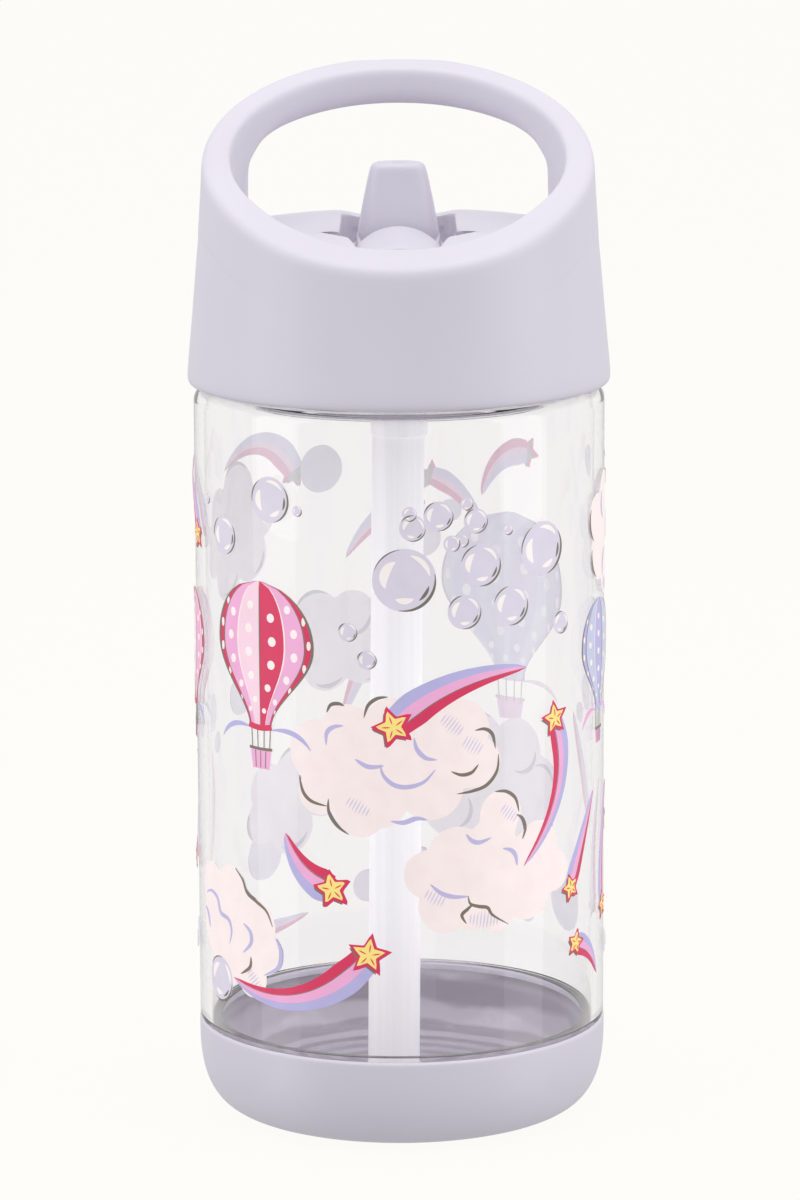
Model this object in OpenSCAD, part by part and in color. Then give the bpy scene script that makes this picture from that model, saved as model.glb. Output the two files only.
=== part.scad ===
// Kids' straw bottle with a carry-loop lid and a flip-up drinking spout.
// Millimetres. The bottle stands on z = 0, its axis is Z, and the carry loop is at the rear, +Y.

/* [Bottle] */
// Outside diameter of the clear barrel
body_d = 70; // [66:1:76]
// Wall of the clear barrel
body_wall = 1.8; // [1.4:0.1:2.2]
// Height of the barrel's shoulder above the ground
shoulder_z = 126; // [110:1:150]
// Outside diameter of the threaded neck
neck_d = 60.8; // [60:0.2:61.6]
// Height of the neck above the shoulder
neck_h = 10; // [9.8:0.1:10.4]

/* [Base cup] */
// Outside diameter of the base cup
cup_d = 70.2; // [70.2:0.1:70.4]
// Height of the base cup
cup_h = 16; // [15.5:0.5:20]
// Wall of the base cup
cup_wall = 1.9; // [1.6:0.1:2.2]
// Squareness of the cup's rounded corner: 2 is an ellipse, more is squarer
corner_power = 2.7; // [2:0.1:4]

/* [Lid] */
// Outside diameter at the bottom of the lid
lid_d = 72.2; // [72:0.1:73]
// Outside diameter at the top of the carry loop
loop_d = 65.5; // [64:0.5:67]
// Height of the bowl's floor, the deck, above the shoulder
deck_h = 26.1; // [26:0.1:28]
// Inside diameter of the bowl
bowl_d = 56.6; // [55:0.2:58]
// Height of the slanted rim above the deck, on the bottle's axis
rim_h = 13.5; // [12:0.5:15]
// Slant of the rim, low at the front and high at the rear
rim_tilt = 22.4; // [20:0.2:24]
// Overall height of the bottle
overall_h = 178.4; // [177:0.1:180]
// Depth of the carry bar below the rim
bar_depth = 6.5; // [5:0.5:8]
// Width of the finger opening under the carry bar
window_w = 51.8; // [48:0.2:53]

/* [Thread] */
// Thread pitch, which is how far one turn lifts the lid
pitch = 3.5; // [3:0.1:4]
// Turn of the neck's thread
neck_thread_turn = 450; // [360:10:460]
// Turn of the lid's thread
lid_thread_turn = 250; // [200:10:260]

/* [Spout] */
// Width of the slot that the spout folds into
slot_w = 19.6; // [19:0.1:20.4]
// Height of the mouthpiece above the hinge axis
spout_h = 17.4; // [16:0.2:19]
// Width of the mouthpiece at the deck
spout_w = 14.1; // [13:0.1:15]
// Width of the mouthpiece at its top
spout_top_w = 9.4; // [9:0.1:11]
// Radius of the hinge drum
drum_r = 5.3; // [5:0.1:5.4]
// Radius of the hinge stubs
stub_r = 1.6; // [1.4:0.1:1.7]
// Diameter of the drinking channel
channel_d = 5.4; // [4:0.2:5.6]

/* [Straw] */
// Outside diameter of the straw
straw_d = 9; // [8.6:0.1:9.2]
// Wall of the straw
straw_wall = 0.8; // [0.6:0.1:0.9]
// Gap between the straw and the floor
straw_gap = 1.9; // [1:0.1:6]

/* [Hidden] */
$fn = 96;
corner_steps = 14;
body_r = body_d / 2;
cup_r = cup_d / 2;
neck_r = neck_d / 2;
neck_wall = 2;
neck_top_z = shoulder_z + neck_h;

// The rounded bottom corner: its centre, and how far each skin stands out from it and below it
corner_r = 25.1;
corner_z = cup_h - 1;
cup_floor = 2.4;
floor_wall = 2;
inner_floor_z = cup_floor + floor_wall;
foot_recess_r = 19;
foot_recess_h = 0.8;

// Lid levels
lid_z = shoulder_z + 0.8;
lid_edge_r = 1.2;
deck_z = shoulder_z + deck_h;
deck_wall = 2.5;
rim_z = deck_z + rim_h;
gasket_h = 2;
plate_z = neck_top_z + gasket_h;
plate_wall = 2;
cap_r = 33.3;
cap_wall = 1.3;
shell_gap = 0.1;
cavity_r = 31.9;

// Hinge of the spout, and the slot around it
hinge_y = 1.2;
hinge_z = shoulder_z + 21;
slot_floor_z = hinge_z - drum_r - 0.4;
slot_rear_y = 28.5;
slot_front_y = hinge_y - 2.2;
cradle_wall = 1.4;
stub_reach = slot_w / 2 + 2.8;
journal_r = 3;
seat_r = 4.4;
nose_r = 10.8;
nose_top_z = deck_z + 0.7;
nose_rear_y = hinge_y - 6.1;

thread_z = shoulder_z + 3.3;
thread_half = 0.95;
thread_crest = 0.5;
nipple_r = straw_d / 2 - straw_wall - 0.05;
collar_r = 4.85;
collar_bottom_z = shoulder_z - 8.4;
vent_at = [-19, -9];

lilac = [0.80, 0.78, 0.86];
clear = [0.90, 0.94, 0.97, 0.35];
silicone = [0.93, 0.93, 0.95];
milky = [0.95, 0.95, 0.95, 0.8];

// Points of a rounded corner, from the flat floor out to the upright wall
function corner(out, down) = [for (i = [0:corner_steps]) let (a = 90 * i / corner_steps)
    [corner_r + out * pow(sin(a), 2 / corner_power), corner_z - down * pow(cos(a), 2 / corner_power)]];

// Points of an arc from angle a0 to a1
function arc(x, z, rx, rz, a0, a1, steps = 8) = [for (i = [0:steps]) let (a = a0 + (a1 - a0) * i / steps)
    [x + rx * cos(a), z + rz * sin(a)]];

function backwards(points) = [for (i = [len(points) - 1:-1:0]) points[i]];

// Outside radius of the lid: a hollow flare, widest at the bottom
function lid_r(z) = loop_d / 2 + (lid_d - loop_d) / 2
    * pow(max(0, overall_h - z) / (overall_h - lid_z - lid_edge_r), 1.55);

// Outline of the opening in the deck: a slot behind the hinge, and a funnel towards the front
function keyhole(inset) = let (w = slot_w / 2 - inset, front = [
        [w, slot_front_y], [w - 1.4, slot_front_y - 2.6], [w - 2.6, -11.5], [w - 3.3, -21],
        [w - 4.4, -24 + inset / 2], [w - 6.4, -25.6 + inset]])
    concat([[-w, slot_rear_y - inset], [w, slot_rear_y - inset]], front,
        backwards([for (p = front) [-p[0], p[1]]]));

// One helical ridge on a cylinder. Its ends fade out over the first and last steps.
module thread(root_r, crest_r, z, from, turn) {
    rings = ceil(turn / 7.5);
    function fade(i) = min(1, (i + 0.6) / 5, (rings - i + 0.6) / 5);
    points = [for (i = [0:rings]) let (a = from + turn * i / rings, c = root_r + (crest_r - root_r) * fade(i),
            up = z + pitch * a / 360, h = thread_half * max(0.5, fade(i)), k = thread_crest * fade(i))
        each [for (p = [[root_r, -h], [c, -k], [c, k], [root_r, h]]) [p[0] * cos(a), p[0] * sin(a), up + p[1]]]];
    outward = crest_r > root_r;
    ends = outward ? [[3, 2, 1, 0], [0, 1, 2, 3]] : [[0, 1, 2, 3], [3, 2, 1, 0]];
    sides = [for (i = [0:rings - 1], j = [0:3]) let (k = (j + 1) % 4, a = 4 * i + j, b = 4 * i + k)
        outward ? [b, b + 4, a + 4, a] : [a, a + 4, b + 4, b]];
    polyhedron(points, concat([ends[0]], sides, [[for (v = ends[1]) v + 4 * rings]]), convexity = 6);
}

module tube(outer, inner, h) {
    difference() {
        cylinder(r = outer, h = h);
        translate([0, 0, -1]) cylinder(r = inner, h = h + 2);
    }
}

// Everything above a plane that is parallel to the slanted rim
module above_rim(drop) {
    translate([0, 0, rim_z - drop]) rotate([rim_tilt, 0, 0]) translate([-60, -60, 0]) cube([120, 120, 60]);
}

module along_x(r, half) {
    translate([-half, hinge_y, hinge_z]) rotate([0, 90, 0]) cylinder(r = r, h = 2 * half);
}

// Clear barrel with a necked-in bottom that sits in the base cup, and a threaded neck
module bottle_body() {
    step_r = cup_r - cup_wall;
    bore_r = body_r - body_wall;
    mouth_r = neck_r - neck_wall;
    outside = concat([[0, cup_floor]], corner(step_r - corner_r, corner_z - cup_floor),
        [[step_r, cup_h], [body_r, cup_h]], arc(body_r - 2.6, shoulder_z - 2.6, 2.6, 2.6, 0, 90),
        [[neck_r, shoulder_z], [neck_r, neck_top_z - 0.6], [neck_r - 0.5, neck_top_z]]);
    inside = concat([[0, inner_floor_z]], corner(step_r - body_wall - corner_r, corner_z - inner_floor_z),
        [[bore_r, cup_h + 5]], arc(mouth_r, shoulder_z - 5.5, bore_r - mouth_r, 3.7, 0, 90),
        [[mouth_r, neck_top_z - 0.5], [mouth_r + 0.4, neck_top_z]]);
    color(clear) {
        rotate_extrude() polygon(concat(outside, backwards(inside)));
        thread(neck_r - 0.3, neck_r + 1.2, thread_z, 0, neck_thread_turn);
    }
}

// Soft-cornered cup pressed on to the bottom of the barrel
module base_cup() {
    step_r = cup_r - cup_wall;
    color(lilac) difference() {
        rotate_extrude() polygon(concat([[0, 0]], corner(cup_r - corner_r, corner_z),
            [[cup_r, cup_h - 0.3], [cup_r - 0.3, cup_h], [step_r, cup_h]],
            backwards(corner(step_r - corner_r, corner_z - cup_floor)), [[0, cup_floor]]));
        translate([0, 0, -1]) cylinder(r = foot_recess_r, h = foot_recess_h + 1);
    }
}

// Flat silicone ring between the neck's rim and the inner cap
module neck_gasket() {
    color(silicone) translate([0, 0, neck_top_z]) tube(neck_r + 1.3, neck_r - neck_wall + 0.2, gasket_h);
}

// The finger opening: wide at the deck, leaning in towards the carry bar
module window() {
    w = window_w / 2;
    half = [[w, deck_z], [w - 0.2, deck_z + 5.4], [w - 0.9, deck_z + 9.6], [w - 2.7, deck_z + 13.6],
        [w - 6, deck_z + 24]];
    difference() {
        translate([0, 60, 0]) rotate([90, 0, 0]) linear_extrude(60)
            polygon(concat(half, backwards([for (p = half) [-p[0], p[1]]])));
        above_rim(bar_depth);
    }
}

// Outer shell: flared skirt, deck, bowl and the slanted carry loop in one moulding
module lid_shell() {
    skirt_top = lid_z + lid_edge_r;
    flare = [for (i = [0:16]) let (z = skirt_top + (overall_h + 2 - skirt_top) * i / 16) [lid_r(z), z]];
    color(lilac) difference() {
        rotate_extrude() polygon(concat([[0, lid_z]],
            arc(lid_r(skirt_top) - lid_edge_r, skirt_top, lid_edge_r, lid_edge_r, -90, 0, 5), flare,
            [[0, overall_h + 2]]));
        above_rim(0);
        translate([0, 0, overall_h]) cylinder(r = 60, h = 10);
        translate([0, 0, deck_z]) cylinder(r = bowl_d / 2, h = 60);
        window();
        translate([0, 0, lid_z - 1]) cylinder(r = cap_r + shell_gap, h = plate_z + plate_wall - lid_z + 1);
        translate([0, 0, plate_z]) cylinder(r = cavity_r, h = deck_z - deck_wall - plate_z);
        translate([0, 0, deck_z - 10]) linear_extrude(20) polygon(keyhole(0));
        hinge_slits(deck_z - 10);
        finger_scoop();
    }
}

// Narrow slits beside the slot, through which the spout's stubs snap down
module hinge_slits(z) {
    for (side = [-1, 1]) translate([side * (slot_w / 2 + 1.4), hinge_y - 1, z + 10])
        cube([3.4, 2.4, 20], center = true);
}

// Shallow hollow in the sill behind the slot, for a fingertip
module finger_scoop() {
    scoop_r = 33;
    intersection() {
        translate([0, slot_rear_y - 4, deck_z + scoop_r - 1.5]) rotate([-90, 0, 0]) cylinder(r = scoop_r, h = 20);
        translate([-20, slot_rear_y - 4, deck_z - 3]) cube([40, 20, 4]);
    }
}

// Threaded inner cap: it closes the neck, cradles the spout and carries the straw
module inner_cap() {
    skirt_z = lid_z + 0.8;
    color(lilac) {
        translate([0, 0, skirt_z]) tube(cap_r, cap_r - cap_wall, plate_z - skirt_z + 0.5);
        thread(cap_r - cap_wall + 0.3, neck_r + 0.5, thread_z - pitch / 2, 150, lid_thread_turn);
        difference() {
            union() {
                translate([0, 0, plate_z]) cylinder(r = cap_r, h = plate_wall);
                intersection() {
                    cradle();
                    translate([0, 0, plate_z]) cylinder(r = cavity_r - shell_gap, h = 40);
                }
                translate([0, 0, collar_bottom_z + 7]) cylinder(r = nipple_r, h = plate_z - collar_bottom_z - 6);
            }
            translate([0, 0, collar_bottom_z]) cylinder(r = channel_d / 2 - 0.1, h = 60);
            translate([0, hinge_y, plate_z + 1]) cylinder(r = seat_r, h = 20);
            translate([vent_at[0], vent_at[1], plate_z - 1]) cylinder(r = 1.25, h = 10);
        }
    }
}

// Walls, floor, hinge bearings and nose around the spout's slot
module cradle() {
    top = deck_z - deck_wall;
    boss_x = stub_reach + 1.4;
    difference() {
        union() {
            translate([-slot_w / 2 - cradle_wall, nose_rear_y - cradle_wall, plate_z])
                cube([slot_w + 2 * cradle_wall, slot_rear_y + cradle_wall * 2 - nose_rear_y, top - plate_z]);
            translate([-boss_x, hinge_y - 4, plate_z]) cube([2 * boss_x, 8, top - plate_z]);
        }
        translate([-slot_w / 2, nose_rear_y, slot_floor_z])
            cube([slot_w, slot_rear_y - nose_rear_y, 20]);
        along_x(stub_r + 0.06, stub_reach + 0.3);
        for (side = [-1, 1]) translate([side * (slot_w / 2 + 1.4), hinge_y, hinge_z + 10])
            cube([3.4, 2 * stub_r * 0.8, 20], center = true);
    }
    nose();
}

// Crowned nose that fills the front of the keyhole, in line with the folded spout
module nose() {
    intersection() {
        translate([0, nose_rear_y, nose_top_z - nose_r]) rotate([90, 0, 0]) cylinder(r = nose_r, h = 30);
        translate([0, 0, plate_z]) linear_extrude(20) polygon(keyhole(0.15));
    }
}

// Flip spout: hinge drum with two stubs, a tapered mouthpiece and the channel through both
module spout() {
    front = 5.7;
    rear = 4.6;
    top_z = hinge_z + spout_h;
    lean = (front - rear) / 2;
    color(lilac) difference() {
        union() {
            along_x(drum_r, spout_w / 2);
            along_x(journal_r, slot_w / 2 - 0.4);
            along_x(stub_r, stub_reach);
            hull() {
                mouth_slice(spout_w, front + rear, hinge_z + 1, lean);
                mouth_slice(spout_w, front + rear, deck_z - 0.2, lean);
                mouth_slice(spout_top_w + 0.5, 7.6, top_z - 1.2, lean);
                mouth_slice(spout_top_w - 1.6, 5.6, top_z - 0.1, lean);
            }
        }
        translate([0, hinge_y, hinge_z - 10]) cylinder(r = channel_d / 2, h = 40);
    }
}

// One level of the mouthpiece: an oval made of two round ends
module mouth_slice(w, d, z, lean) {
    for (side = [-1, 1]) translate([side * (w - d) / 2, hinge_y - lean, z]) cylinder(r = d / 2, h = 0.1, $fn = 32);
}

// Silicone seat that hugs the drum and seals the channel when the spout is folded
module spout_seal() {
    color(silicone) difference() {
        translate([0, hinge_y, plate_z + 1]) tube(seat_r - 0.05, channel_d / 2 - 0.1, hinge_z - plate_z - 6);
        along_x(drum_r + 0.08, 20);
    }
}

// Small valve that lets air in as the child drinks
module vent_valve() {
    color(silicone) translate([vent_at[0], vent_at[1], plate_z - 0.8]) {
        cylinder(r = 3.2, h = 0.8);
        cylinder(r = 1.2, h = plate_wall + 1);
        translate([0, 0, plate_wall + 0.8]) cylinder(r = 1.9, h = 0.9);
    }
}

// Sleeve that grips the top of the straw
module straw_collar() {
    color(silicone) translate([0, 0, collar_bottom_z]) tube(collar_r, straw_d / 2, 15);
}

module straw() {
    bottom_z = inner_floor_z + straw_gap;
    color(milky) translate([0, 0, bottom_z]) tube(straw_d / 2, straw_d / 2 - straw_wall, collar_bottom_z + 15 - bottom_z);
}

bottle_body();
base_cup();
neck_gasket();
lid_shell();
inner_cap();
spout();
spout_seal();
vent_valve();
straw_collar();
straw();
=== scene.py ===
import math
import random

import bmesh
import bpy
from mathutils import Matrix, Vector


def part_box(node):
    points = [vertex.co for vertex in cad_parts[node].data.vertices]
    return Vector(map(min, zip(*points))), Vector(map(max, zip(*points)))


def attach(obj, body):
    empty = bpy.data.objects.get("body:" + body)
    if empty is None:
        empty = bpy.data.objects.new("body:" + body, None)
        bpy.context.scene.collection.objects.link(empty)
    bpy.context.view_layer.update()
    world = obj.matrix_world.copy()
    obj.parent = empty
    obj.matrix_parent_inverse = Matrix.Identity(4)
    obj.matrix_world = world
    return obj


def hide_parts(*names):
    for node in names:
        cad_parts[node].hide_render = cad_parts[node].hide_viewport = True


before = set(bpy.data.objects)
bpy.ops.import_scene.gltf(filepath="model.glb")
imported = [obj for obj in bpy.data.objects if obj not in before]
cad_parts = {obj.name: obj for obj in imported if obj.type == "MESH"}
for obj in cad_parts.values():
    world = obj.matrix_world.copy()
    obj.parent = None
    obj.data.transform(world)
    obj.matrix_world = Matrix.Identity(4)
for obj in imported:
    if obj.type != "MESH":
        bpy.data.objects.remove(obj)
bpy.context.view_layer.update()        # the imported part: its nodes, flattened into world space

scene = bpy.context.scene
mm = 0.001        # pieces are built in millimetres and scaled as they are finished
fullTurn = 2 * math.pi
print("frame loaded:", len(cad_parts), "nodes")


def nodeBox(name):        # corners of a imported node, in millimetres
    low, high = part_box(name)
    return low / mm, high / mm


def smoothStep(t):
    t = min(1, max(0, t))
    return t * t * (3 - 2 * t)


def mix(a, b, t):
    return a + (b - a) * t


stage = {
    "cameraPlace": (0, -946, 271.3),
    "cameraPitch": 79.07,        # degrees up from straight down
    "cameraRoll": -0.27,
    "lens": 168.4,
    "floorSize": 6.0,        # metres
    "backdrop": (253, 252, 248),
    "studioGlow": 0.87,        # how bright the room is for shading
    "glowColour": (0.985, 0.98, 0.995),
    "frontShade": 0.92,        # the room in front of the bottle is darker than behind it
    "groundShade": 0.70,        # and darker below it than above
    "floorColour": (0.03, 0.03, 0.029),
    "floorLight": 0.968,
    "lightsAim": (0, 0, 0.09),
    "softboxes": {        # place, size and power, in metres and watts
        "topBox": ((0, -0.12, 0.9), (0.9, 0.7), 2.5),
        "leftBox": ((-0.85, -0.25, 0.30), (0.5, 1.8), 3.0),
        "rightBox": ((0.85, -0.25, 0.30), (0.5, 1.8), 3.0),
    },
}


def srgb(r, g, b):        # screen colour 0 to 255 into the linear values that sockets take
    return tuple(((c / 255 + 0.055) / 1.055) ** 2.4 for c in (r, g, b))


def addCamera():
    data = bpy.data.cameras.new("camera")
    data.lens = stage["lens"]
    data.sensor_width = 36
    data.clip_end = 20
    camera = bpy.data.objects.new("camera", data)
    pitch = Matrix.Rotation(math.radians(stage["cameraPitch"]), 4, "X")
    roll = Matrix.Rotation(math.radians(stage["cameraRoll"]), 4, "Z")
    camera.matrix_world = Matrix.Translation(Vector(stage["cameraPlace"]) * mm) @ pitch @ roll
    scene.collection.objects.link(camera)
    scene.camera = camera


def addRoom():
    scene.view_settings.view_transform = "Standard"
    world = bpy.data.worlds.new("softRoom")
    world.use_nodes = True
    nodes, links = world.node_tree.nodes, world.node_tree.links
    nodes.clear()
    out = nodes.new("ShaderNodeOutputWorld")
    seen = nodes.new("ShaderNodeBackground")        # what the camera sees, past or through the bottle
    seen.inputs["Color"].default_value = (*srgb(*stage["backdrop"]), 1)
    glow = nodes.new("ShaderNodeBackground")        # what shades the bottle
    glow.inputs["Color"].default_value = (*stage["glowColour"], 1)
    coords = nodes.new("ShaderNodeTexCoord")
    split = nodes.new("ShaderNodeSeparateXYZ")
    links.new(coords.outputs["Generated"], split.inputs[0])

    def fade(axis, start, end, low, high):        # brightness from one side of the room to the other
        ramp = nodes.new("ShaderNodeMapRange")
        ramp.interpolation_type = "SMOOTHSTEP"
        for socket, value in zip(("From Min", "From Max", "To Min", "To Max"), (start, end, low, high)):
            ramp.inputs[socket].default_value = value
        links.new(split.outputs[axis], ramp.inputs["Value"])
        return ramp.outputs["Result"]

    strength = nodes.new("ShaderNodeMath")
    strength.operation = "MULTIPLY"
    links.new(fade("Y", -0.9, 0.5, stage["frontShade"], 1.0), strength.inputs[0])
    glowBelow = stage["groundShade"] * stage["studioGlow"]
    links.new(fade("Z", -0.9, 0.15, glowBelow, stage["studioGlow"]), strength.inputs[1])
    path = nodes.new("ShaderNodeLightPath")
    either = nodes.new("ShaderNodeMath")
    either.operation = "MAXIMUM"
    pick = nodes.new("ShaderNodeMixShader")
    links.new(strength.outputs[0], glow.inputs["Strength"])
    links.new(path.outputs["Is Camera Ray"], either.inputs[0])
    links.new(path.outputs["Is Transmission Ray"], either.inputs[1])
    links.new(either.outputs[0], pick.inputs["Fac"])
    links.new(glow.outputs[0], pick.inputs[1])
    links.new(seen.outputs[0], pick.inputs[2])
    links.new(pick.outputs[0], out.inputs["Surface"])
    scene.world = world


def addSoftbox(name, place, size, power):
    data = bpy.data.lights.new(name, "AREA")
    data.shape = "RECTANGLE"
    data.size, data.size_y = size
    data.energy = power
    light = bpy.data.objects.new(name, data)
    aim = Vector(stage["lightsAim"]) - Vector(place)
    light.matrix_world = Matrix.Translation(place) @ aim.to_track_quat("-Z", "Y").to_matrix().to_4x4()
    scene.collection.objects.link(light)


def addFloor():
    bm = bmesh.new()
    bmesh.ops.create_grid(bm, x_segments=1, y_segments=1, size=stage["floorSize"] / 2)
    bmesh.ops.translate(bm, verts=bm.verts, vec=(0, 0, -0.0002))
    mesh = bpy.data.meshes.new("floor")
    bm.to_mesh(mesh)
    bm.free()
    floor = bpy.data.objects.new("floor", mesh)
    scene.collection.objects.link(floor)
    material = bpy.data.materials.new("paleFloor")
    material.use_nodes = True
    nodes, links = material.node_tree.nodes, material.node_tree.links
    shader = nodes["Principled BSDF"]
    shader.inputs["Base Color"].default_value = (*stage["floorColour"], 1)
    shader.inputs["Roughness"].default_value = 0.9
    shader.inputs["Specular IOR Level"].default_value = 0.0
    shader.inputs["Emission Color"].default_value = (*srgb(*stage["backdrop"]), 1)
    shader.inputs["Emission Strength"].default_value = stage["floorLight"]
    mesh.materials.append(material)
    floor.visible_diffuse = False        # it is a backdrop, and the room alone lights the bottle
    floor.visible_glossy = False


addCamera()
addRoom()
addFloor()
for name, settings in stage["softboxes"].items():
    addSoftbox(name, *settings)
print("stage set")


finishes = {        # screen colours, 0 to 255, and how rough each is
    "lilac": ((211, 207, 218), 0.36),
    "spout": ((203, 199, 211), 0.30),
    # the cup's inside: two shades darker than the lilac as painted shade, with flow rings between them
    "cupShadeAndRings": ((165, 155, 168), (199, 191, 203), 0.5),
    "straw": ((252, 251, 252), 0.38),
    "silicone": ((240, 239, 241), 0.55),
}


def newMaterial(name, colour, roughness, **settings):
    material = bpy.data.materials.new(name)
    material.use_nodes = True
    shader = material.node_tree.nodes["Principled BSDF"]
    shader.inputs["Base Color"].default_value = (*colour, 1)
    shader.inputs["Roughness"].default_value = roughness
    for socket, value in settings.items():
        shader.inputs[socket.replace("_", " ")].default_value = value
    return material


def objectNoise(material, scale, detail=3.0, stretch=(1, 1, 1)):        # noise that stays with the piece
    nodes, links = material.node_tree.nodes, material.node_tree.links
    coords = nodes.new("ShaderNodeTexCoord")
    mapping = nodes.new("ShaderNodeMapping")
    mapping.inputs["Scale"].default_value = stretch
    noise = nodes.new("ShaderNodeTexNoise")
    noise.inputs["Scale"].default_value = scale
    noise.inputs["Detail"].default_value = detail
    links.new(coords.outputs["Object"], mapping.inputs["Vector"])
    links.new(mapping.outputs["Vector"], noise.inputs["Vector"])
    return noise.outputs["Fac"]


def varyColour(material, source, low, high):        # the colour drifts between two close shades
    nodes, links = material.node_tree.nodes, material.node_tree.links
    ramp = nodes.new("ShaderNodeValToRGB")
    ramp.color_ramp.elements[0].position = 0.32
    ramp.color_ramp.elements[0].color = (*low, 1)
    ramp.color_ramp.elements[1].position = 0.68
    ramp.color_ramp.elements[1].color = (*high, 1)
    links.new(source, ramp.inputs["Fac"])
    links.new(ramp.outputs["Color"], nodes["Principled BSDF"].inputs["Base Color"])


def varyRoughness(material, source, low, high):
    nodes, links = material.node_tree.nodes, material.node_tree.links
    spread = nodes.new("ShaderNodeMapRange")
    spread.inputs["From Min"].default_value = 0.3
    spread.inputs["From Max"].default_value = 0.7
    spread.inputs["To Min"].default_value = low
    spread.inputs["To Max"].default_value = high
    links.new(source, spread.inputs["Value"])
    links.new(spread.outputs["Result"], nodes["Principled BSDF"].inputs["Roughness"])


def addBump(material, source, height, strength):
    nodes, links = material.node_tree.nodes, material.node_tree.links
    bump = nodes.new("ShaderNodeBump")
    bump.inputs["Distance"].default_value = height
    bump.inputs["Strength"].default_value = strength
    links.new(source, bump.inputs["Height"])
    links.new(bump.outputs["Normal"], nodes["Principled BSDF"].inputs["Normal"])


def shade(colour, factor):
    return tuple(c * factor for c in colour)


# satin polypropylene: faint flow clouds and a fine spark-eroded grain
def mouldedPlastic(name, tone, roughness):
    colour = srgb(*tone)
    material = newMaterial(name, colour, roughness, IOR=1.49, Specular_IOR_Level=0.42)
    clouds = objectNoise(material, 28, 2.0, (1, 1, 0.6))
    grain = objectNoise(material, 2600, 2.0)
    varyColour(material, clouds, shade(colour, 0.975), shade(colour, 1.02))
    varyRoughness(material, clouds, roughness - 0.04, roughness + 0.05)
    addBump(material, grain, 0.00002, 0.25)
    return material


def shadedRingedPlastic():        # the cup's inside under the clear barrel: flow rings, in shades darker than the outer lilac as painted shade
    low, high, roughness = finishes["cupShadeAndRings"]
    low, high = srgb(*low), srgb(*high)
    material = newMaterial("shadedRingedPolypropylene", mix(Vector(low), Vector(high), 0.5), roughness, IOR=1.49)
    nodes, links = material.node_tree.nodes, material.node_tree.links
    coords = nodes.new("ShaderNodeTexCoord")
    rings = nodes.new("ShaderNodeTexWave")
    rings.wave_type = "RINGS"
    rings.rings_direction = "SPHERICAL"
    for socket, value in zip(("Scale", "Distortion", "Detail", "Detail Scale"), (70, 4.0, 3.0, 0.5)):
        rings.inputs[socket].default_value = value
    links.new(coords.outputs["Object"], rings.inputs["Vector"])
    varyColour(material, rings.outputs["Fac"], low, high)
    return material


def clearPlastic():        # blown copolyester, nearly colourless
    material = newMaterial("clearCopolyester", (0.955, 0.95, 0.965), 0.0, IOR=1.42)
    material.node_tree.nodes["Principled BSDF"].inputs["Transmission Weight"].default_value = 1.0
    waves = objectNoise(material, 60, 1.0, (1, 1, 0.25))
    addBump(material, waves, 0.0003, 0.06)
    return material


def milkyGlowPlastic():        # the straw: cloudy extruded tube with die lines along it, and a faint painted glow in its own colour that stands in for light through the tube
    colour, roughness = srgb(*finishes["straw"][0]), finishes["straw"][1]
    material = newMaterial("milkyGlowTube", colour, roughness, IOR=1.47, Transmission_Weight=0.12,
                           Emission_Strength=0.15)
    material.node_tree.nodes["Principled BSDF"].inputs["Emission Color"].default_value = (*colour, 1)
    lines = objectNoise(material, 900, 2.0, (1, 1, 0.012))
    varyColour(material, lines, shade(colour, 0.93), colour)
    addBump(material, lines, 0.0001, 0.25)
    return material


def siliconeRubber():
    colour, roughness = srgb(*finishes["silicone"][0]), finishes["silicone"][1]
    material = newMaterial("siliconeRubber", colour, roughness, Sheen_Weight=0.1)
    dust = objectNoise(material, 700, 3.0)
    varyColour(material, dust, shade(colour, 0.96), colour)
    addBump(material, dust, 0.00005, 0.3)
    return material


# screen-printed ink: small density changes and a slightly pitted film, with a faint painted glow in the ink's
# colour that stands in for daylight through the thin film
def inkFilm(name, r, g, b, paintedGlow):
    colour = srgb(r, g, b)
    material = newMaterial(name, colour, 0.42, Emission_Strength=paintedGlow)
    material.node_tree.nodes["Principled BSDF"].inputs["Emission Color"].default_value = (*colour, 1)
    density = objectNoise(material, 260, 2.0)
    varyColour(material, density, shade(colour, 0.965), shade(colour, 1.02))
    addBump(material, objectNoise(material, 1400, 2.0), 0.00001, 0.12)
    return material


lilacPlastic = mouldedPlastic("lilacPolypropylene", *finishes["lilac"])
spoutPlastic = mouldedPlastic("spoutPolypropylene", *finishes["spout"])
shadedCupInside = shadedRingedPlastic()
clearShell = clearPlastic()
milkyGlowTube = milkyGlowPlastic()
silicone = siliconeRubber()
print("materials mixed")


def finishPiece(name, bm, materials, body, replaced=(), levels=0):
    bmesh.ops.scale(bm, verts=bm.verts, vec=(mm, mm, mm))
    mesh = bpy.data.meshes.new(name)
    bm.to_mesh(mesh)
    bm.free()
    mesh.polygons.foreach_set("use_smooth", [True] * len(mesh.polygons))
    for material in materials:
        mesh.materials.append(material)
    piece = bpy.data.objects.new(name, mesh)
    scene.collection.objects.link(piece)
    if levels:
        smooth = piece.modifiers.new("smooth", "SUBSURF")
        smooth.levels = smooth.render_levels = levels
    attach(piece, body)
    if replaced:
        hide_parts(*replaced)
    print("built", name, len(mesh.polygons), "faces")
    return piece


def rounded(corners, steps=5, closed=True):        # (r, z, radius) corners into an outline with arcs
    points = []
    count = len(corners)
    for i, (r, z, radius) in enumerate(corners):
        here = Vector((r, z))
        if not radius or (not closed and i in (0, count - 1)):
            points.append(here)
            continue
        before = (Vector(corners[i - 1][:2]) - here).normalized()
        after = (Vector(corners[(i + 1) % count][:2]) - here).normalized()
        half = before.angle(after) / 2
        centre = here + (before + after).normalized() * radius / math.sin(half)
        start = here + before * radius / math.tan(half) - centre
        end = here + after * radius / math.tan(half) - centre
        for k in range(steps + 1):
            turn = start.slerp(end, k / steps) if start.angle(end) > 0.001 else start
            points.append(centre + turn.normalized() * radius)
    return points


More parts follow.
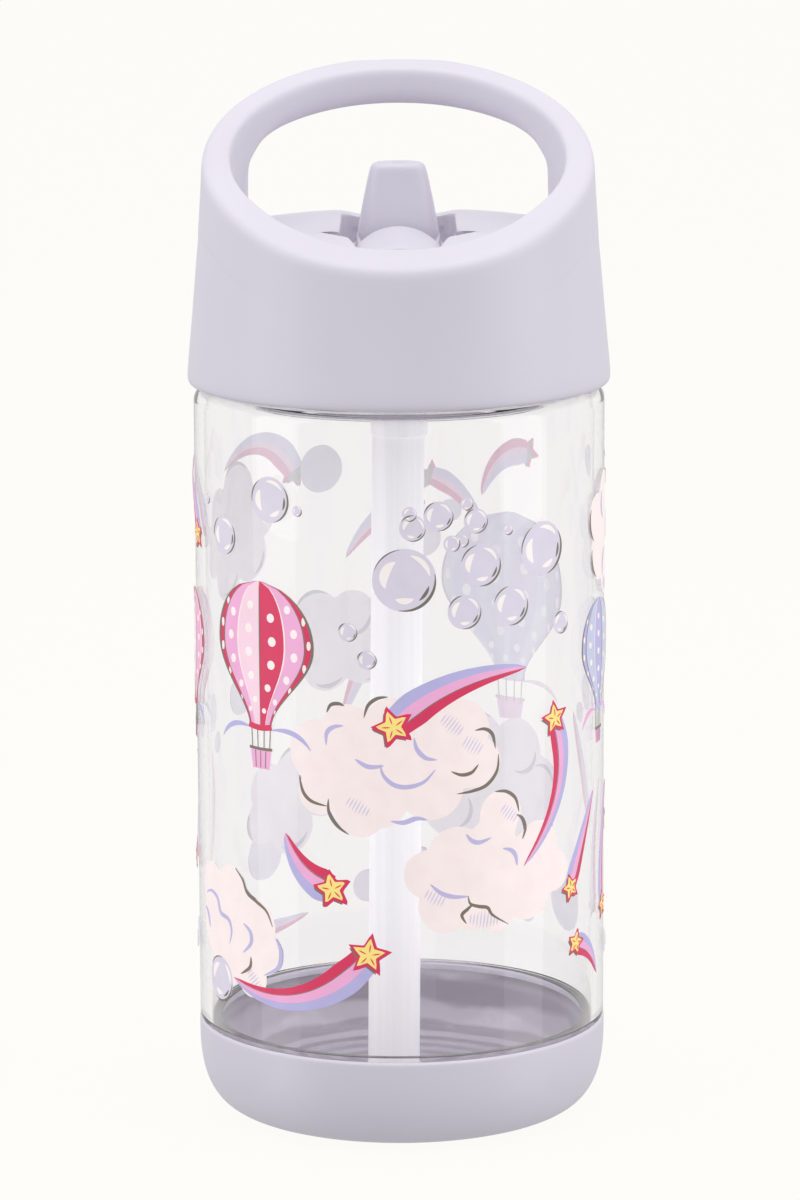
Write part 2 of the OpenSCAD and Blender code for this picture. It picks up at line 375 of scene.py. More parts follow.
def lathe(bm, outline, steps=128, closed=True):        # turns (r, z) points round the Z axis
    old = set(bm.verts)
    verts = [bm.verts.new((p[0], 0, p[1])) for p in outline]
    edges = [bm.edges.new(pair) for pair in zip(verts, verts[1:])]
    if closed:
        edges.append(bm.edges.new((verts[-1], verts[0])))
    bmesh.ops.spin(bm, geom=verts + edges, cent=(0, 0, 0), axis=(0, 0, 1), dvec=(0, 0, 0),
                   angle=fullTurn, steps=steps, use_merge=True)
    made = [v for v in bm.verts if v not in old]
    bmesh.ops.remove_doubles(bm, verts=made, dist=0.0005)
    made = [v for v in bm.verts if v not in old]
    faces = [f for f in bm.faces if f.verts[0] not in old]
    bmesh.ops.recalc_face_normals(bm, faces=faces)
    return made


lidLow, lidHigh = nodeBox("lid_shell")
lid = {
    "columns": 112,
    "bottomRadius": (lidHigh.x - lidLow.x) / 2,
    "topRadius": 32.75,
    "flarePower": 1.55,
    "flareFoot": 1.2,        # the skirt is upright up to here
    "deckHeight": 152.1,
    "deckWall": 2.5,
    "rimHeight": 165.6,        # of the slanted rim on the bottle's axis
    "rimSlope": math.tan(math.radians(22.4)),
    "frontDroop": 1.3,
    "bowlRadius": 28.3,
    "barDepth": 6.5,
    "windowHalf": 25.9,        # half width of the finger opening at its sill
    "windowTopHalf": 23.9,
    "windowColumn": 35,        # the column of vertices that is the opening's edge
    "cavityRadius": 31.9,
    "boreRadius": 33.4,
    "boreTop": 140.0,
    "sillDip": 1.5,
    "sillDipFrom": 24.5,
    "cornerDrop": (0.5, 0.12),        # rounds the opening's upper corners
}

# Half of the keyhole in the deck, front to rear: each stretch's end and how many columns it takes
keyhole = {
    "start": (0, -25.3),
    "stretches": [((4.6, -25.2), 4), ((5.9, -24.6), 2), ((6.3, -23.2), 2), ((7.5, -12.6), 3),
                  ((8.2, -6.6), 3), ((8.65, -5.2), 2), ((10.2, -3.0), 2), ((12.3, 0.2), 2),
                  ((12.75, 0.9), 1), ((12.75, 1.3), 1), ((12.2, 1.6), 1), ((10.4, 1.7), 2),
                  ((10.0, 2.0), 1), ((9.9, 2.8), 1), ((9.8, 27.4), 17), ((8.8, 28.5), 2),
                  ((0, 28.5), 10)],
    "wallFoot": 142.0,        # the wall under the lip goes down to here, but stops short over the hinge
    "hingeY": 1.2,
    "hingeGap": 3.4,
    "wallThickness": 1.2,
    "lip": 0.9,
}


def keyholeStations():
    stations = [Vector(keyhole["start"])]
    for end, count in keyhole["stretches"]:
        start = stations[-1]
        stations += [start.lerp(Vector(end), (i + 1) / count) for i in range(count)]
    return stations


def rimAt(y):        # slanted, and it droops a little at the front
    return lid["rimHeight"] + lid["rimSlope"] * y - lid["frontDroop"] * smoothStep((-y - 14) / 18)


def flareAt(z):
    top, low = lidHigh.z, lidLow.z + lid["flareFoot"]
    rise = max(0, top - z) / (top - low)
    return lid["topRadius"] + (lid["bottomRadius"] - lid["topRadius"]) * rise ** lid["flarePower"]


def polar(radius, angle):        # angle from the front, towards +X
    return Vector((radius * math.sin(angle), -radius * math.cos(angle)))


def shellSection(k, key):
    half = lid["columns"] // 2
    edge = lid["windowColumn"]
    deck = lid["deckHeight"]
    bowl = lid["bowlRadius"]
    inWindow = k >= edge
    cornerDrop = dict(zip((edge, edge + 1), lid["cornerDrop"])).get(k, 0)
    lip = keyhole["lip"]

    def column(edgeAngle):        # this column's angle where the opening's edge is at edgeAngle
        return edgeAngle * k / edge if k <= edge else mix(edgeAngle, math.pi, (k - edge) / (half - edge))

    def edgeAngle(width, radius):
        return math.pi - math.asin(width / radius)

    points = []

    def add(flat, z):
        points.append(Vector((flat.x, flat.y, z)))

    # deck, from the keyhole's lip outwards
    foot = polar(bowl - mix(4.6, 1.0, smoothStep(k / 20)), column(edgeAngle(lid["windowHalf"], bowl)))
    sill = polar(flareAt(deck), column(edgeAngle(lid["windowHalf"], flareAt(deck))))
    if inWindow:
        foot = foot.lerp(key.lerp(sill, 0.55), smoothStep((k - edge) / 7))
    away = (foot - key).normalized()
    add(key, deck - lip)
    add(key, deck)
    add(key + away * min(lip, (foot - key).length * 0.4), deck)
    add(key.lerp(foot, 0.62), deck)
    add(foot, deck)

    # bowl wall up to the rim: sill to bar, then the bar, then the rim's rounded edge
    widths = [lid["windowHalf"], lid["windowHalf"], lid["windowHalf"] - 0.2, lid["windowHalf"] - 0.75,
              lid["windowTopHalf"]]
    rises = [0.14, 0.40, 0.76, 0.90, 1.0]
    for width, rise in zip(widths, rises):
        flat = polar(bowl, column(edgeAngle(width, bowl)))
        top = rimAt(flat.y)
        drop = min(lid["barDepth"], 0.36 * (top - deck))
        z = mix(deck, top - drop, rise)
        if rise == rises[0]:
            flat = polar(bowl - mix(1.3, 0.15, smoothStep(k / 20)), column(edgeAngle(width, bowl)))
        if rise == 1:        # a soft bevel under the carry bar, and the opening's rounded corner
            flat = polar(bowl + 0.9 * smoothStep((k - edge) / 6), column(edgeAngle(width, bowl)))
            z -= cornerDrop
        add(flat, z)
    topColumn = column(edgeAngle(lid["windowTopHalf"], bowl))
    flat = polar(bowl, topColumn)
    top = rimAt(flat.y)
    drop = min(lid["barDepth"], 0.36 * (top - deck))
    add(flat, top - drop * 0.74)
    add(flat, top - drop * 0.33)
    add(flat, top)

    # rim, out to the flare; its radius and height settle together
    outerColumn = column(edgeAngle(lid["windowTopHalf"], flareAt(lidHigh.z - 3)))
    z = top
    for _ in range(4):
        outer = polar(flareAt(z), outerColumn)
        z = min(rimAt(outer.y), lidHigh.z + 0.35)
    add(flat.lerp(outer, 0.5), mix(top, z, 0.5))
    add(outer, z)

    # down the outside: the bar, the opening, the skirt
    low = min(deck, z - 10)
    drop = min(lid["barDepth"], 0.65 * (z - low))
    for share in (0.38, 0.74):
        add(polar(flareAt(z - drop * share), outerColumn), z - drop * share)
    for width, rise in zip(reversed(widths), reversed(rises)):
        level = mix(low, z - drop, rise)
        if rise == 1:
            level -= cornerDrop
        add(polar(flareAt(level), column(edgeAngle(width, flareAt(level)))), level)
    add(polar(flareAt(low), column(edgeAngle(lid["windowHalf"], flareAt(low)))), low)
    even = math.pi * k / half
    skirt = lidLow.z + 2.0
    settle = mix(column(edgeAngle(lid["windowHalf"], flareAt(low))), even, 0.35)
    for share in (0.09, 0.3, 0.52, 0.76):
        level = mix(low, skirt, share)
        settle = mix(settle, even, 0.4)
        add(polar(flareAt(level), settle), level)
    add(polar(flareAt(skirt), even), skirt)
    add(polar(lid["bottomRadius"] - 0.05, even), lidLow.z)
    add(polar(mix(lid["bottomRadius"], lid["boreRadius"], 0.5), even), lidLow.z)

    # inside: bore for the inner cap, cavity under the deck
    add(polar(lid["boreRadius"], even), lidLow.z)
    add(polar(lid["boreRadius"], even), lidLow.z + 1.5)
    add(polar(lid["boreRadius"], even), lid["boreTop"])
    add(polar(lid["cavityRadius"], even), lid["boreTop"])
    under = deck - lid["deckWall"]
    add(polar(lid["cavityRadius"], even), under)
    add(key.lerp(polar(lid["cavityRadius"], even), 0.5), under)
    behind = key + away * min(keyhole["wallThickness"], (foot - key).length * 0.5)
    wallFoot = under - 0.3 if abs(key.y - keyhole["hingeY"]) < keyhole["hingeGap"] else keyhole["wallFoot"]
    add(behind, under)
    add(behind, wallFoot)
    add(key, wallFoot)
    add(key, under)
    return points


def buildLidShell():
    columns = lid["columns"]
    half = columns // 2
    keys = keyholeStations()
    sections = [shellSection(k, keys[k]) for k in range(half + 1)]
    bm = bmesh.new()
    rowLayer = bm.verts.layers.int.new("row")
    side = sections[half // 2]
    verts = []
    for row, p in enumerate(side):
        v = bm.verts.new((10 + row, 0, p.z))
        v[rowLayer] = row
        verts.append(v)
    edges = [bm.edges.new((verts[i - 1], verts[i])) for i in range(len(verts))]
    bmesh.ops.spin(bm, geom=verts + edges, cent=(0, 0, 0), axis=(0, 0, 1), dvec=(0, 0, 0),
                   angle=fullTurn, steps=columns, use_merge=True)
    columnLayer = bm.verts.layers.int.new("column")
    for v in bm.verts:
        turn = round((math.atan2(v.co.y, v.co.x) + math.pi / 2) / fullTurn * columns) % columns
        k = min(turn, columns - turn)
        place = sections[k][v[rowLayer]].copy()
        if turn > half:
            place.x = -place.x
        v.co = place
        v[columnLayer] = k
    bmesh.ops.recalc_face_normals(bm, faces=bm.faces)

    # finger opening: take out the faces on both sides of the wall and bridge the two edges
    footRow, barRow = 4, 9
    outerBar, sillRow = 17, 22

    def inside(face, first, last):
        return all(first <= v[rowLayer] <= last and v[columnLayer] >= lid["windowColumn"] for v in face.verts)

    gone = [f for f in bm.faces if inside(f, footRow, barRow) or inside(f, outerBar, sillRow)]
    bmesh.ops.delete(bm, geom=gone, context="FACES")
    rim = [e for e in bm.edges if e.is_boundary]
    made = bmesh.ops.bridge_loops(bm, edges=rim)
    across = [e for f in made["faces"] for e in f.edges
              if (e.verts[0][rowLayer] <= barRow) != (e.verts[1][rowLayer] <= barRow)]
    bmesh.ops.subdivide_edges(bm, edges=list(set(across)), cuts=2, use_grid_fill=True)
    bmesh.ops.recalc_face_normals(bm, faces=bm.faces)

    # fingertip dip in the sill behind the slot
    for v in bm.verts:
        if abs(v.co.z - lid["deckHeight"]) < 0.01 and v.co.y > 20:
            depth = max(0, lid["sillDip"] - v.co.x ** 2 / 66)
            v.co.z -= depth * smoothStep((v.co.y - lid["sillDipFrom"]) / 4)
    finishPiece("lidShell", bm, [lilacPlastic], "lid", ["lid_shell"], levels=2)


# arched cover in the front of the slot
ridge = {
    "radius": 9.0,
    "rear": (-5.3, 153.9),        # y and height at the spout, then by the rim
    "front": (-26.2, 152.8),
    "halfWidths": (7.15, 6.2),
    "foot": 149.2,
}


def buildRidge():
    bm = bmesh.new()
    bmesh.ops.create_grid(bm, x_segments=14, y_segments=14, size=1)
    top = bmesh.ops.extrude_face_region(bm, geom=bm.faces[:])["geom"]
    raised = {v for v in top if isinstance(v, bmesh.types.BMVert)}
    for v in bm.verts:
        side, along = math.sin(math.pi / 2 * v.co.x), (1 - math.sin(math.pi / 2 * v.co.y)) / 2
        (rearY, rearTop), (frontY, frontTop) = ridge["rear"], ridge["front"]
        x = side * mix(*ridge["halfWidths"], smoothStep((along - 0.25) * 1.1))
        arch = ridge["radius"] - math.sqrt(ridge["radius"] ** 2 - x * x)
        z = mix(rearTop, frontTop, along ** 2) - arch if v in raised else ridge["foot"]
        v.co = (x, mix(rearY, frontY, along), z)
    bmesh.ops.recalc_face_normals(bm, faces=bm.faces)
    finishPiece("hingeRidge", bm, [lilacPlastic], "lid", levels=1)


buildLidShell()
buildRidge()


spout = {
    "hingeY": 1.2,
    "hingeZ": 147.0,
    "levels": [(145.0, 7.05), (148.6, 7.05), (151.9, 7.0), (154.0, 6.6), (156.6, 6.15),
               (159.2, 5.6), (161.4, 5.15), (162.7, 4.8)],        # height and half width
    "top": 163.9,
    "front": 5.6,
    "rear": 4.6,
    "topDepth": 0.68,        # the mouthpiece gets this much thinner, front to rear
    "squareness": 2.7,
    "channel": 2.7,
    "sipHole": 0.9,
    "drumRadius": 5.3,
    "drumHalf": 7.05,
    "journalRadius": 3.0,
    "stubRadius": 1.6,
    "stubHalf": 12.6,
    "journalHalf": 9.4,
}


def buildSpout():
    bm = bmesh.new()
    rowLayer = bm.verts.layers.int.new("row")
    low = spout["levels"][0][0]
    rows = [(low, 0.55), (low, 0.98)] + [(z, 1.0) for z, _ in spout["levels"][1:]]
    widths = [spout["levels"][0][1]] * 2 + [w for _, w in spout["levels"][1:]]
    rows += [(spout["top"] - 0.4, 0.95), (spout["top"] + 0.05, 0.78), (spout["top"] + 0.1, 0.5)]
    widths += [spout["levels"][-1][1]] * 3
    verts = []
    for i, (z, _) in enumerate(rows):
        v = bm.verts.new((2 + i, 0, z))
        v[rowLayer] = i
        verts.append(v)
    bores = {}
    for r, z in [(spout["sipHole"] + 0.3, spout["top"] + 0.1), (spout["sipHole"], spout["top"] - 0.3),
                 (spout["sipHole"], spout["top"] - 1.4), (spout["channel"], spout["top"] - 2.4),
                 (spout["channel"], low - 3)]:
        v = bm.verts.new((2 + len(verts), 0, z))
        v[rowLayer] = len(verts)
        bores[len(verts)] = r
        verts.append(v)
    edges = [bm.edges.new(pair) for pair in zip(verts, verts[1:])] + [bm.edges.new((verts[-1], verts[0]))]
    bmesh.ops.spin(bm, geom=verts + edges, cent=(0, 0, 0), axis=(0, 0, 1), dvec=(0, 0, 0),
                   angle=fullTurn, steps=48, use_merge=True)
    lean = (spout["front"] - spout["rear"]) / 2
    for v in bm.verts:
        angle = math.atan2(v.co.y, v.co.x)
        c, s = math.cos(angle), math.sin(angle)
        row = v[rowLayer]
        if row in bores:
            v.co = (bores[row] * c, spout["hingeY"] + bores[row] * s, v.co.z)
            continue
        power = 2 / spout["squareness"]
        rise = smoothStep((v.co.z - 150) / (spout["top"] - 150))
        deep = (spout["front"] + spout["rear"]) / 2 * mix(1, spout["topDepth"], rise)
        share = rows[row][1]
        x = widths[row] * share * math.copysign(abs(c) ** power, c)
        y = deep * share * math.copysign(abs(s) ** power, s)
        v.co = (x, spout["hingeY"] - lean * (1 - rise) + y, v.co.z)
    bmesh.ops.recalc_face_normals(bm, faces=bm.faces)

    # drum with its journals and snap-in stubs, turned about Z and then laid along X
    r, h = spout["drumRadius"], spout["drumHalf"]
    stub, stubEnd = spout["stubRadius"], spout["stubHalf"]
    journal, journalEnd = spout["journalRadius"], spout["journalHalf"]
    outline = rounded([(0, -stubEnd, 0), (stub, -stubEnd, 0.4), (stub, -journalEnd, 0),
                       (journal, -journalEnd, 0.3),
                       (journal, -h, 0), (r, -h, 0.6), (r, h, 0.6), (journal, h, 0),
                       (journal, journalEnd, 0.3), (stub, journalEnd, 0), (stub, stubEnd, 0.4),
                       (0, stubEnd, 0)],
                      3, closed=False)
    made = lathe(bm, outline, 64, closed=False)
    bmesh.ops.rotate(bm, verts=made, cent=(0, 0, 0), matrix=Matrix.Rotation(math.pi / 2, 3, "Y"))
    bmesh.ops.translate(bm, verts=made, vec=(0, spout["hingeY"], spout["hingeZ"]))
    finishPiece("flipSpout", bm, [spoutPlastic], "spout", ["spout"], levels=2)


buildSpout()


bodyLow, bodyHigh = nodeBox("bottle_body")
cupLow, cupHigh = nodeBox("base_cup")
barrel = {
    "radius": 35.0,
    "wall": 1.8,
    "shoulder": 126.0,
    "shoulderRadius": 2.2,
    "plate": 1.2,        # thickness under the shoulder
    "neckRadius": 30.4,
    "neckBore": 28.4,
    "stepRadius": 33.2,        # the part that sits in the cup
    "cornerCentre": (25.1, 15.0),
    "cornerPower": 2.7,
    "paleBand": 2.2,        # the cup's inside has the outer colour this far down; below, it takes the darker painted shade
    "innerFloor": 4.4,
    "threadPitch": 3.5,
    "threadTurns": 1.25,
    "threadStart": 3.3,        # above the shoulder
    "threadRib": [(0.02, -0.95), (1.0, -0.45), (1.0, 0.45), (0.02, 0.95)],
}


def softCorner(out, down, steps=14):        # from the flat floor to the upright wall
    cr, cz = barrel["cornerCentre"]
    power = 2 / barrel["cornerPower"]
    return [Vector((cr + out * math.sin(a) ** power, cz - down * math.cos(a) ** power))
            for a in (math.pi / 2 * i / steps for i in range(steps + 1))]


def buildBarrel():
    bm = bmesh.new()
    cr, cz = barrel["cornerCentre"]
    step, radius, wall = barrel["stepRadius"] - 0.06, barrel["radius"], barrel["wall"]
    bore = radius - wall
    neck, neckBore = barrel["neckRadius"], barrel["neckBore"]
    shoulder, under = barrel["shoulder"], barrel["shoulder"] - barrel["plate"]
    ledge, shelf = cupHigh.z + 0.08, cupHigh.z + 0.6
    floorZ = bodyLow.z + 0.06
    outside = [Vector((0, floorZ))] + softCorner(step - cr, cz - floorZ)
    outside += rounded([(step, cz, 0), (step, ledge, 0.3), (radius, ledge, 0.35),
                        (radius, shoulder, barrel["shoulderRadius"]), (neck, shoulder, 0.5),
                        (neck, bodyHigh.z, 0.6), (neckBore, bodyHigh.z, 0)], 6, closed=False)[1:-1]
    inside = rounded([(neck, bodyHigh.z, 0), (neckBore, bodyHigh.z, 0.5), (neckBore, under, 0.4),
                      (bore, under, 1.2), (bore, shelf, 0.25), (step - wall, shelf, 0.25),
                      (step - wall, cz + 0.6, 0.3)], 6, closed=False)[1:]
    inside += list(reversed(softCorner(step - wall - cr, cz - barrel["innerFloor"])))
    inside.append(Vector((0, barrel["innerFloor"])))
    lathe(bm, outside + inside, 160, closed=False)

    # neck thread: a small rib spun upwards in a helix
    base = shoulder + barrel["threadStart"]
    start = bm.faces.new([bm.verts.new((neck + r, 0, base + z)) for r, z in barrel["threadRib"]])
    turns = barrel["threadTurns"]
    steps = int(80 * turns)
    bmesh.ops.spin(bm, geom=[start], cent=(0, 0, 0), axis=(0, 0, 1),
                   dvec=(0, 0, barrel["threadPitch"] * turns / steps),
                   angle=fullTurn * turns, steps=steps, use_merge=False)
    bmesh.ops.recalc_face_normals(bm, faces=bm.faces)
    piece = finishPiece("clearBarrel", bm, [clearShell], "bottle", ["bottle_body"])
    piece.visible_diffuse = False        # daylight reaches the straw and the print's back unfiltered
    piece.visible_shadow = False


def buildCup():
    bm = bmesh.new()
    cr, cz = barrel["cornerCentre"]
    outer = (cupHigh.x - cupLow.x) / 2
    step = barrel["stepRadius"] + 0.04
    floorZ = bodyLow.z
    outline = rounded([(0, 0.8, 0), (18.6, 0.8, 0.3), (19.2, 0, 0.3), (cr, 0, 0)], 3, closed=False)[:-1]
    outline += softCorner(outer - cr, cz, 18)
    outline += rounded([(outer, cz, 0), (outer, cupHigh.z, 0.45), (step, cupHigh.z, 0.25), (step, cz, 0)],
                       4, closed=False)[1:-1]
    outline.append(Vector((step, cupHigh.z - barrel["paleBand"])))
    outline += list(reversed(softCorner(step - cr, cz - floorZ)))
    outline.append(Vector((0, floorZ)))
    lathe(bm, outline, 160, closed=False)
    for face in bm.faces:        # the inside, under the barrel, takes the darker material: painted shade
        middle = face.calc_center_median()
        outward = face.normal.xy.dot(middle.xy.normalized())
        if face.normal.z > -0.02 and outward < 0.02 and middle.z < cupHigh.z - barrel["paleBand"]:
            face.material_index = 1
    finishPiece("baseCup", bm, [lilacPlastic, shadedCupInside], "bottle", ["base_cup"])


buildBarrel()
buildCup()


strawLow, strawHigh = nodeBox("straw")
collarLow, collarHigh = nodeBox("straw_collar")
straw = {"radius": 4.5, "bore": 3.7, "lean": -1.45}        # lean: how far its foot hangs to the left


def buildStraw():
    bm = bmesh.new()
    r, bore = straw["radius"] - 0.01, straw["bore"]
    low, high = strawLow.z, strawHigh.z
    lathe(bm, rounded([(bore, low, 0.2), (r, low, 0.25), (r, high, 0.2), (bore, high, 0.2)], 3), 64)
    for vert in bm.verts:
        vert.co.x += straw["lean"] * (high - vert.co.z) / (high - low)
    finishPiece("drinkingStraw", bm, [milkyGlowTube], "lid", ["straw"])
    bm = bmesh.new()
    r = (collarHigh.x - collarLow.x) / 2
    bore, low, high = straw["radius"] + 0.02, collarLow.z, collarHigh.z
    lathe(bm, rounded([(bore, low, 0.1), (r, low, 0.2), (r + 0.02, high, 0.2), (bore, high, 0.1)], 3), 64)
    # the collar shares the straw's glowing material, so its painted glow also lifts the shade under the cap
    finishPiece("strawCollar", bm, [milkyGlowTube], "lid", ["straw_collar"])


buildStraw()

# the remaining CAD nodes keep their shape and take a finish
for name, material in (("neck_gasket", silicone), ("spout_seal", silicone), ("vent_valve", silicone),
                       ("inner_cap", lilacPlastic)):
    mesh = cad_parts[name].data
    mesh.materials.clear()
    mesh.materials.append(material)


# The print is drawn flat on the unrolled barrel, u round it from the front and z up it, in millimetres.
# Each shape gets a thin film's thickness, and then the whole sheet is rolled on to the barrel.

film = {"lift": 0.06, "step": 0.05, "thickness": 0.04}
inkColours = {
    "cloudCream": (250, 236, 233), "olive": (122, 112, 100), "softLilac": (190, 184, 222),
    "hatch": (214, 206, 228), "bubble": (216, 209, 224), "shine": (248, 240, 236),
    "shadow": (116, 110, 98), "sunYellow": (253, 228, 130), "crimson": (214, 48, 92),
    "candy": (238, 172, 212), "skyLilac": (182, 178, 222), "paleCandy": (247, 212, 226),
    "dotCream": (250, 238, 236), "paleBlue": (196, 202, 226), "ghostLine": (120, 116, 140),
    "ghostDot": (255, 255, 255),
}
backTone = (222, 221, 223)        # the white undercoat that shows from the inside
inkNames = list(inkColours)
# front faces glow faintly and back faces more: painted glow standing in for daylight through the film
inkMaterials = [inkFilm("ink_" + name, *inkColours[name], 0.1) for name in inkNames]
for name in inkNames:
    paler = [mix(c, b, 0.8) for c, b in zip(inkColours[name], backTone)]
    inkMaterials.append(inkFilm("back_" + name, *paler, 0.27))


def pressPatch(sheet, patch, ink, layer):        # gives a flat patch its film, ink and place in the stack
    for face in patch.faces:
        if face.normal.z < 0:
            face.normal_flip()
    bmesh.ops.solidify(patch, geom=patch.faces[:], thickness=film["thickness"])
    bmesh.ops.recalc_face_normals(patch, faces=patch.faces)
    base = film["lift"] + layer * film["step"] - min(v.co.z for v in patch.verts)
    bmesh.ops.translate(patch, verts=patch.verts, vec=(0, 0, base))
    number = inkNames.index(ink)
    for face in patch.faces:
        face.normal_update()
        face.material_index = number + (len(inkNames) if face.normal.z < -0.5 else 0)
    mesh = bpy.data.meshes.new("patch")
    patch.to_mesh(mesh)
    patch.free()
    sheet.from_mesh(mesh)
    bpy.data.meshes.remove(mesh)


# outline gives the radius at an angle
def addBlob(sheet, ink, layer, centre, outline, steps=36, rings=3):
    patch = bmesh.new()
    spoke = [patch.verts.new((i / rings, 0, 0)) for i in range(rings + 1)]
    edges = [patch.edges.new(pair) for pair in zip(spoke, spoke[1:])]
    bmesh.ops.spin(patch, geom=spoke + edges, cent=(0, 0, 0), axis=(0, 0, 1), dvec=(0, 0, 0),
                   angle=fullTurn, steps=steps, use_merge=True)
    bmesh.ops.remove_doubles(patch, verts=patch.verts, dist=0.001)
    for v in patch.verts:
        reach = outline(math.atan2(v.co.y, v.co.x))
        v.co = (centre[0] + v.co.x * reach, centre[1] + v.co.y * reach, 0)
    for face in patch.faces:
        face.normal_update()
    pressPatch(sheet, patch, ink, layer)


# part of a ribbon along a path
def addBand(sheet, ink, layer, path, width, low=-0.5, high=0.5, steps=14, across=2):
    patch = bmesh.new()
    bmesh.ops.create_grid(patch, x_segments=steps, y_segments=across, size=0.5)
    for v in patch.verts:
        t, s = v.co.x + 0.5, v.co.y + 0.5
        ahead, behind = Vector(path(min(1, t + 0.01))), Vector(path(max(0, t - 0.01)))
        along = (ahead - behind).normalized()
        flat = Vector(path(t)) + Vector((-along.y, along.x)) * width(t) * mix(low, high, s)
        v.co = (flat.x, flat.y, 0)
    for face in patch.faces:
        face.normal_update()
    pressPatch(sheet, patch, ink, layer)


def arc(centre, radius, start, end):        # angles in degrees
    def path(t):
        a = math.radians(mix(start, end, t))
        return (centre[0] + radius * math.cos(a), centre[1] + radius * math.sin(a))
    return path


def bend(start, middle, end):
    a, b, c = Vector(start), Vector(middle), Vector(end)
    return lambda t: a.lerp(b, t).lerp(b.lerp(c, t), t)


def through(points):        # a smooth line through all of them
    knots = [Vector(p) for p in points]
    last = len(knots) - 1

    def path(t):
        i = min(int(t * last), last - 1)
        f = t * last - i
        a, b, c, d = (knots[min(last, max(0, i + k))] for k in (-1, 0, 1, 2))
        return b + ((c - a) * f + (2 * a - 5 * b + 4 * c - d) * f * f + (3 * b - a - 3 * c + d) * f ** 3) / 2
    return path


def brush(width, low=0.15):        # a stroke that swells in the middle
    return lambda t: width * max(low, math.sin(math.pi * t) ** 0.7)


def rollSheet(name, sheet):
    radius = barrel["radius"]
    for edge in sheet.edges:        # crisp film edges
        edge.smooth = edge.calc_face_angle(0) < 0.5
    for v in sheet.verts:
        turn, reach = v.co.x / radius, radius + v.co.z
        v.co = (reach * math.sin(turn), -reach * math.cos(turn), v.co.y)
    piece = finishPiece(name, sheet, inkMaterials, "bottle")
    piece.visible_diffuse = False
    piece.visible_shadow = False


